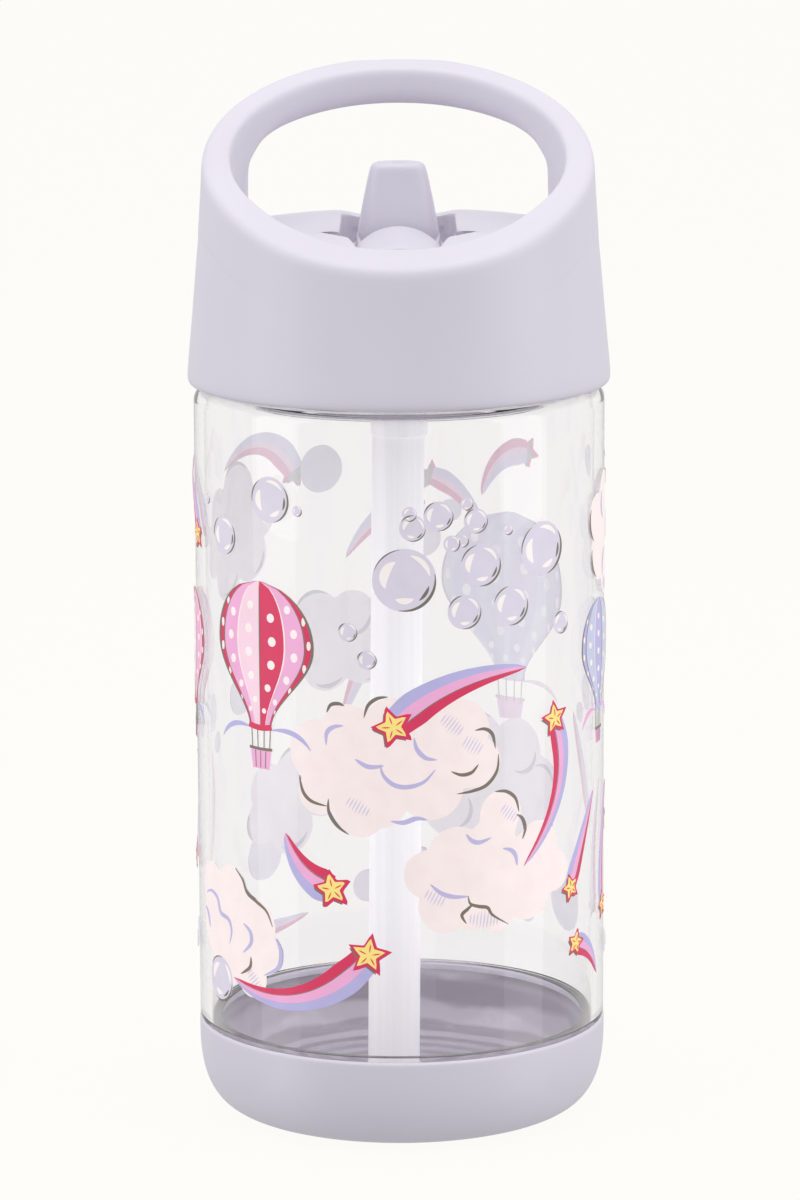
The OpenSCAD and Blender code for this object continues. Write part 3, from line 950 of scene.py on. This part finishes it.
# clouds: lobes are (u, z, radius) and strokes run through points. Rims and folds are arcs, (lobe, from, to,
# inset), and hatches are (u, z, turn, count, length).
strokeWidths = {"olive": 0.62, "softLilac": 0.8}
clouds = [
    {"middle": (-1.5, 67.0),
     "lobes": [(-13.9, 69.2, 5.5), (-8.9, 73.0, 4.6), (-1, 72.6, 6.2), (9.8, 73.0, 5.4),
               (12.9, 67.3, 4.4), (5, 63.5, 5.6), (-3.8, 61.8, 5.2), (-6.8, 59.4, 4.4),
               (-13.9, 62.3, 3.9)],
     "strokes": [("olive", [(-6.1, 75.4), (-5.4, 77.5), (-3.9, 78.7), (-2.1, 79.0)]),
                 ("olive", [(-12.5, 76.0), (-11.8, 77.3), (-10.5, 77.6), (-9.4, 77.3)]),
                 ("olive", [(12.6, 72.8), (14.4, 72.9), (15.8, 71.8), (16.3, 69.4)]),
                 ("olive", [(16.9, 68.4), (16.6, 65.6), (14.8, 63.4), (12.2, 62.5), (9.4, 62.2)]),
                 ("olive", [(-17.6, 64.8), (-16.9, 62.1), (-15.3, 60.6), (-12.5, 60.0)]),
                 ("olive", [(-12.3, 61.3), (-12.2, 59.0), (-10.8, 56.8), (-8.8, 55.4)]),
                 ("olive", [(8.4, 66.1), (10.2, 65.4), (12.0, 65.7), (13.2, 67.0)]),
                 ("softLilac", [(-12.6, 70.4), (-12.5, 72.5), (-11.3, 73.6), (-9.6, 73.9)]),
                 ("softLilac", [(2.2, 72.1), (2.7, 70.1), (4.1, 68.6), (6.0, 68.2)]),
                 ("softLilac", [(-3.4, 67.6), (-2.9, 65.7), (-1.2, 64.1), (1.1, 63.7), (3.8, 64.5),
                                (5.8, 66.6)]),
                 ("softLilac", [(-7.6, 68.3), (-5.4, 67.1), (-2.8, 67.3)]),
                 ("softLilac", [(-1.7, 57.9), (0.4, 57.6), (2.6, 58.3), (4.4, 58.0)])],
     "hatches": [(8.6, 74.0, 52, 7, 3.0), (12.2, 70.3, 58, 6, 3.2), (-7.2, 60.2, 62, 7, 2.6)]},
    {"middle": (16, 47.5),
     "lobes": [(4.6, 48.6, 4.2), (9.4, 51.6, 5), (15.8, 53.0, 4.6), (17.4, 58.2, 3.9),
               (25.0, 51.4, 4.6), (29.0, 46.6, 3.6), (22.6, 44.6, 5.4), (12.0, 45.0, 6.2),
               (7.4, 43.0, 4.6), (16.4, 41.6, 3.7)],
     "strokes": [("olive", [(16.3, 62.0), (18.4, 61.8), (20.2, 60.4), (20.9, 58.0)]),
                 ("olive", [(20.4, 57.6), (21.6, 56.8), (22.2, 55.0), (21.6, 53.2)]),
                 ("olive", [(11.3, 44.6), (11.7, 43.2), (13.2, 42.6), (14.8, 42.2), (15.8, 40.8),
                            (18.8, 38.9)]),
                 ("olive", [(12.3, 43.2), (11.2, 42.3), (10.2, 41.3), (11.0, 39.8)]),
                 ("softLilac", [(11.0, 55.2), (12.0, 54.0), (13.4, 53.6), (15.5, 54.2)]),
                 ("softLilac", [(4.8, 47.0), (6.6, 45.4), (8.8, 44.6), (11.4, 44.5)]),
                 ("softLilac", [(17.7, 52.1), (19.3, 51.6), (20.2, 50.5), (20.5, 48.8)])],
     "hatches": [(14.2, 40.2, 82, 9, 3.4), (5.6, 44.6, 62, 6, 2.6), (19.0, 58.0, 50, 6, 2.6)]},
    {"middle": (-31, 36),
     "lobes": [(-34, 41.8, 5.0), (-27.6, 37.4, 4.8), (-25.6, 33.0, 3.9), (-31, 32.6, 6),
               (-38.5, 36, 6), (-35.5, 30.5, 5), (-28.4, 28.4, 3.6), (-41, 42, 4)],
     "strokes": [("olive", [(-32.4, 46.6), (-30.4, 45.0), (-29.2, 42.9), (-27.0, 41.8), (-24.6, 40.4),
                            (-23.3, 37.9)]),
                 ("olive", [(-28.4, 31.9), (-28.7, 30.0), (-31.1, 28.4)]),
                 ("softLilac", [(-43.6, 40.0), (-41.1, 40.9), (-38.5, 40.2), (-37.3, 37.9), (-34.6, 37.2),
                                (-33.7, 35.3),
                                (-34.4, 32.9)]),
                 ("softLilac", [(-30.3, 37.4), (-28.5, 36.2), (-28.4, 34.2), (-30.5, 32.2)]),
                 ("softLilac", [(-22.6, 36.0), (-21.6, 33.8), (-22.2, 31.0), (-25.3, 29.2)]),
                 ("softLilac", [(-44.2, 37.6), (-42.6, 36.4), (-41.8, 34.2)])],
     "hatches": [(-27.6, 27.8, 40, 7, 2.8)]},
    {"middle": (48, 100),
     "lobes": [(44.5, 104.5, 4.4), (50.5, 107, 5.2), (56, 102, 5), (45.5, 98.5, 4.6), (51.5, 95.5, 5)],
     "rims": [(0, 150, 235, 0), (3, 165, 240, 0)],
     "folds": [(1, 150, 230, 1.2), (2, 130, 220, 1.4), (4, 120, 200, 1)],
     "darkFolds": [(1, 20, 90, 0)],
     "hatches": [(50, 92.6, 60, 5, 2.2)]},
    {"middle": (-72, 98),
     "lobes": [(-80, 100, 5), (-74, 104.5, 5.4), (-66, 101.5, 5), (-63, 95.5, 4.4), (-70, 91.5, 5.4),
               (-78, 93, 4.8)],
     "rims": [(1, 40, 130, 0), (3, -60, 30, 0)],
     "folds": [(0, 120, 210, 1.2), (4, 200, 290, 0.8), (2, 180, 260, 1.2)],
     "darkFolds": [(5, 180, 250, 0.4)],
     "hatches": [(-70.6, 89.4, 60, 6, 2.4)]},
    {"middle": (-98, 75),
     "lobes": [(-106.5, 77, 4.4), (-101, 79.5, 4.6), (-94, 79.5, 5), (-89.5, 74, 4.4), (-96, 71, 4.8),
               (-103, 71.5, 4.4)],
     "rims": [(2, 30, 120, 0), (0, 110, 190, 0)],
     "folds": [(1, 180, 270, 1), (3, 150, 240, 1.1), (4, 220, 300, 0.6)],
     "darkFolds": [(5, 200, 260, 0.3)],
     "hatches": [(-96, 69.4, 60, 5, 2.2)]},
    {"middle": (92, 49),
     "lobes": [(80.5, 51, 5), (86.5, 56.5, 5.6), (95.5, 57, 5.6), (103, 52, 5), (100.5, 44.5, 5.4),
               (91, 41.6, 5.8), (82.5, 43.8, 5)],
     "rims": [(2, 20, 120, 0), (3, -50, 40, 0), (6, 150, 230, 0)],
     "folds": [(0, 60, 180, 1.4), (1, 180, 280, 1.2), (4, 150, 250, 1.4), (5, 200, 300, 0.8)],
     "darkFolds": [(2, 200, 270, 1.6)],
     "hatches": [(91, 39.6, 60, 6, 2.4), (101, 53.4, 55, 5, 2.4)]},
    {"middle": (-88, 47),
     "lobes": [(-95, 48, 4.6), (-89.5, 52, 4.8), (-82.5, 50, 4.6), (-81, 44.4, 4.2), (-88, 42.4, 5)],
     "rims": [(1, 40, 130, 0), (3, -50, 30, 0)],
     "folds": [(0, 120, 210, 1), (4, 200, 300, 0.8)],
     "darkFolds": [],
     "hatches": [(-88, 40.6, 60, 5, 2.2)]},
]


def addStroke(sheet, ink, line, steps):        # outside, and again where it is seen from the inside
    for tone, layer in ((ink, 2), ("ghostLine", -1)):
        addBand(sheet, tone, layer, line, brush(strokeWidths[ink]), steps=steps, across=1)


def cloudOutline(cloud):        # the farthest lobe edge in each direction
    def reach(angle):
        d = Vector((math.cos(angle), math.sin(angle)))
        best = 1.0
        for u, z, r in cloud["lobes"]:
            to = Vector((u, z)) - Vector(cloud["middle"])
            along = to.dot(d)
            gap = r * r - (to.length_squared - along * along)
            if gap > 0:
                best = max(best, along + math.sqrt(gap))
        return best
    return reach


def drawClouds():
    sheet = bmesh.new()
    for cloud in clouds:
        addBlob(sheet, "cloudCream", 0, cloud["middle"], cloudOutline(cloud), 120, 6)
        for ink, points in cloud.get("strokes", ()):
            addStroke(sheet, ink, through(points), 7 * len(points))
        for ink, marks in (("olive", cloud.get("rims", ())), ("softLilac", cloud.get("folds", ())),
                           ("olive", cloud.get("darkFolds", ()))):
            for lobe, start, end, inset in marks:
                u, z, r = cloud["lobes"][lobe]
                addStroke(sheet, ink, arc((u, z), r - inset - 0.2, start, end), 16)
        for u, z, turn, count, length in cloud["hatches"]:
            a = math.radians(turn)
            along, aside = Vector((math.cos(a), math.sin(a))), Vector((math.sin(a), -math.cos(a)))
            for i in range(count):
                middle = Vector((u, z)) + aside * (i - (count - 1) / 2) * 0.62
                half = along * length * 0.5 * (1 - 0.12 * abs(i - (count - 1) / 2))
                line = bend(middle - half, middle, middle + half)
                addBand(sheet, "hatch", 1, line, brush(0.28), steps=3, across=1)
    rollSheet("cloudPrint", sheet)


# soap bubbles: (u, z, radius)
bubbles = [
    (0.7, 98.7, 5.3), (13.7, 100.7, 3.6), (25.9, 102.3, 4.6), (10.8, 93.0, 2.9), (19.3, 93.4, 3.4),
    (6.4, 109.3, 2.5), (2.1, 107.4, 2.2), (12.8, 108.2, 2.1), (-8.7, 89.8, 1.6), (-5.5, 85.2, 1.6),
    (30.4, 89.1, 1.9), (11.2, 111.2, 1.1), (18.7, 106.3, 0.9), (8.6, 104.6, 1.4), (10.4, 105.0, 1.1),
    (1.6, 109.8, 1.2), (-23.1, 111.0, 3.9), (-34.6, 103.6, 3.3), (-17.6, 109.6, 0.9),
    (-40.5, 109.0, 0.9), (-37.3, 26.3, 3.9), (-95.2, 106.3, 4.2), (-81.6, 38.0, 4.4), (-86, 99.5, 1.2),
    (72.5, 31.3, 5.4), (84.5, 27.0, 1.8), (62, 71, 3.2), (66.5, 66.5, 1.8), (-60, 68, 3.4),
    (-64, 62, 1.9), (106, 93.5, 3.6), (100.5, 98.5, 2.0), (108, 110, 2.6), (-56, 30, 2.6),
    (60.5, 112, 2.8), (-104, 30, 3.0), (-75, 68.5, 3.8), (57, 28, 2.2), (104, 63, 2.2),
]


def drawBubbles():
    random.seed(11)
    sheet = bmesh.new()
    for u, z, r in bubbles:
        turn = random.uniform(-25, 25)
        steps = 40 if r > 2 else 24

        def disc(angle, r=r):
            return r

        addBlob(sheet, "bubble", 3, (u, z), disc, steps, 3 if r > 2 else 2)
        marks = [("shine", 0.64, 118, 205, r * 0.30, 12), ("shine", 0.80, 12, 78, r * 0.16, 10),
                 ("shine", 0.66, -112, -62, r * 0.2, 8), ("shadow", 0.97, -98, 14, max(0.22, r * 0.10), 16)]
        if r > 1.5:
            marks += [("shadow", 0.79, -52, -12, r * 0.11, 8), ("shadow", 0.98, 100, 165, 0.24, 10)]
        for ink, share, start, end, width, steps in marks:
            line = arc((u, z), r * share, start + turn, end + turn)
            layer, across = (4, 2) if ink == "shine" else (5, 1)
            addBand(sheet, ink, layer, line, brush(width), steps=steps, across=across)
    rollSheet("bubblePrint", sheet)


# shooting stars: head, tail's bend and end, tail's width at the head, star's radius and turn,
# and which side of the tail is crimson
shootingStars = [
    ((-1.2, 73.9), (7.5, 83.0), (22.4, 82.6), 6.8, 3.5, 20, -1),
    ((28.8, 72.9), (34.5, 61), (21.9, 48.6), 4.8, 3.0, 8, -1),
    ((-11.6, 45.8), (-18.0, 47.2), (-20.4, 54.6), 6.6, 3.4, 12, -1),
    ((-5.4, 34.8), (-16, 21.6), (-33, 27.4), 6.6, 3.5, -8, -1),
    ((33.2, 42.8), (36.5, 50), (41.5, 58), 4.2, 2.5, 16, -1),
    ((34.8, 32.8), (40.5, 31.5), (43.5, 25.6), 4.4, 2.5, -14, -1),
    ((47.0, 36.8), (45.0, 46), (50.5, 58), 3.6, 2.4, 10, -1),
    ((-89.6, 106.4), (-84, 116.5), (-69.5, 109.0), 6.0, 3.0, 14, -1),
    ((84.6, 110.2), (92, 110), (94.5, 101.5), 5.4, 2.8, 30, 1),
    ((104, 104.5), (98, 103), (93, 93.5), 4.4, 2.6, 0, 1),
    ((-112, 100), (-105, 98), (-100, 90), 4.6, 2.6, 22, -1),
    ((60, 50), (66, 58), (70, 66), 5.0, 2.8, 0, -1),
    ((-56, 44), (-62, 52), (-58, 62), 5.0, 2.8, 20, 1),
    ((-46, 102), (-50, 110), (-59, 114), 4.6, 2.7, 12, 1),
    ((-72, 27), (-80, 22.5), (-92, 26), 5.0, 2.8, -10, 1),
    ((108, 36), (101, 29), (92, 28), 4.8, 2.8, 5, 1),
    ((112, 78), (118, 70), (121, 60), 4.6, 2.8, 18, 1),
]


def starOutline(radius, turn, inner=0.47):
    tip, dent = Vector((radius, 0)), Vector((math.cos(math.pi / 5), math.sin(math.pi / 5))) * radius * inner
    side = dent - tip

    def reach(angle):
        a = (angle - turn) % (fullTurn / 5)
        a = min(a, fullTurn / 5 - a)
        d = Vector((math.cos(a), math.sin(a)))
        return abs(tip.cross(dent)) / abs(side.cross(d))
    return reach


def drawStars():
    sheet = bmesh.new()
    for head, middle, end, width, size, turn, flip in shootingStars:
        path = bend(head, middle, end)

        def taper(t, width=width):
            return width * (0.25 + 0.75 * min(1, 0.6 + t * 2.2)) * (1 - t) ** 0.62 + 0.1

        stripes = [("crimson", 0.16, 0.5, 3), ("candy", -0.16, 0.2, 4), ("skyLilac", -0.5, -0.12, 3)]
        for ink, low, high, layer in stripes:
            ends = (low * flip, high * flip)
            addBand(sheet, ink, layer, path, taper, min(ends), max(ends), steps=20, across=2)
        addBand(sheet, "olive", 5, path, taper, 0.17 * flip, 0.2 * flip, steps=16, across=1)
        a = math.radians(turn) + math.pi / 2
        shift = Vector((0.45 * flip, -0.4))
        addBlob(sheet, "olive", 5, Vector(head) + shift, starOutline(size * 0.98, a), 40, 2)
        addBlob(sheet, "crimson", 6, head, starOutline(size * 1.16, a), 40, 2)
        addBlob(sheet, "sunYellow", 7, Vector(head) + Vector((-0.12, 0.1)), starOutline(size * 0.84, a), 40,
                2)
        for k in range(5):
            tipAngle = a + fullTurn / 5 * k
            out = Vector((math.cos(tipAngle), math.sin(tipAngle)))
            start = Vector(head) + out * size * 0.14
            vein = bend(start, start + out * size * 0.2, start + out * size * 0.42)
            addBand(sheet, "crimson", 8, vein, brush(0.24), steps=4, across=1)
    rollSheet("starPrint", sheet)


# hot-air balloons with dotted gores
balloons = [
    {"top": (-25.5, 97), "height": 25, "half": 10.6,
     "gores": ["crimson", "candy", "paleCandy", "crimson", "candy", "crimson"],
     "dots": "dotCream", "basket": 5.0, "ribbon": "skyLilac"},
    {"top": (44.5, 91), "height": 19, "half": 7.6,
     "gores": ["skyLilac", "paleBlue", "skyLilac", "paleBlue", "skyLilac"],
     "dots": "dotCream", "basket": 3.8, "ribbon": "candy"},
    {"top": (88.5, 99), "height": 30, "half": 13.5,
     "gores": ["skyLilac", "paleBlue", "skyLilac", "paleBlue", "skyLilac", "paleBlue"],
     "dots": "dotCream", "basket": 5.4, "ribbon": "paleCandy"},
    {"top": (-51, 92), "height": 20, "half": 7.8,
     "gores": ["candy", "crimson", "paleCandy", "candy", "crimson"],
     "dots": "dotCream", "basket": 4.0, "ribbon": "skyLilac"},
]


def drawBalloons():
    sheet = bmesh.new()
    for balloon in balloons:
        u, z = balloon["top"]
        height, half = balloon["height"], balloon["half"]

        def down(t, u=u, z=z, height=height):
            return (u, z - height * t)

        def swell(t, half=half):        # round on top, drawn in to the mouth
            if t < 0.42:
                return 2 * half * math.sqrt(max(0.004, 1 - (1 - t / 0.42) ** 2))
            return 2 * half * mix(1, 0.22, smoothStep((t - 0.42) / 0.58) ** 1.15)

        gores = balloon["gores"]
        for i, ink in enumerate(gores):
            low, high = (0.5 * math.sin(math.pi * (k / len(gores) - 0.5)) for k in (i, i + 1))
            addBand(sheet, ink, 3, down, swell, low, high, steps=24, across=2)
            if i:
                seam = "olive" if i % 2 else "dotCream"
                addBand(sheet, seam, 5, down, swell, low - 0.006, low + 0.006, steps=24, across=1)
            for j in range(5):
                t = 0.17 + 0.16 * j + 0.07 * (i % 2)
                place = (u + swell(t) * (low + high) / 2, z - height * t)
                size = 0.62 * (swell(t) / (2 * half)) ** 0.5 * half / 8
                narrow = math.cos(math.pi * ((i + 0.5) / len(gores) - 0.5)) ** 0.6

                def dot(angle, size=size, narrow=narrow):
                    return size / math.hypot(math.cos(angle) / narrow, math.sin(angle))

                addBlob(sheet, balloon["dots"], 4, place, dot, 14, 1)
                addBlob(sheet, "ghostDot", 2, place, dot, 14, 1)
        # rim lines, mouth, ropes and basket
        for side in (-1, 1):
            addBand(sheet, "olive", 5, down, swell, 0.5 * side - 0.012, 0.5 * side + 0.012, steps=24,
                    across=1)
        low = z - height
        deep = balloon["basket"]
        mouth = "crimson" if gores[0] != "skyLilac" else "softLilac"

        def bowed(width, edge, middle):        # a slightly bowed line from side to side
            return bend((u - width, edge), (u, middle), (u + width, edge))

        def rope(x, top, middle, foot):        # draws in as it goes down
            return bend((u + x, top), (u + x * 0.95, middle), (u + x * 0.9, foot))

        addBand(sheet, mouth, 6, bowed(half * 0.24, low + 0.4, low - 0.3), lambda t: 1.0, steps=8)
        for x in (-0.2, -0.07, 0.07, 0.2):
            addBand(sheet, "olive", 2, rope(half * x, low, low - 2, low - 4), lambda t: 0.2, steps=3,
                    across=1)
        weave = bend((u, low - 3.4), (u, low - 3.4 - deep / 2), (u, low - 3.4 - deep * 0.72))
        addBand(sheet, "candy", 3, weave, lambda t, half=half: half * mix(0.44, 0.34, t), steps=5, across=3)
        addBand(sheet, "olive", 4, bowed(half * 0.24, low - 3.5, low - 3.7), lambda t: 0.5, steps=6, across=1)
        for k in range(3):
            slat = rope((k - 1) * half * 0.11, low - 3.9, low - 5, low - 3.3 - deep * 0.7)
            addBand(sheet, "olive", 4, slat, lambda t: 0.16, steps=3, across=1)
        # two ribbons in the wind
        for side in (-1, 1):
            start = Vector((u + side * half * 0.2, low - 0.2))
            middle = start + Vector((side * half * 0.5, 1.2))
            end = start + Vector((side * half * 0.75, -2.6))
            addBand(sheet, balloon["ribbon"], 2, bend(start, middle, end), brush(0.9), steps=10)
    rollSheet("balloonPrint", sheet)


drawClouds()
drawBubbles()
drawStars()
drawBalloons()
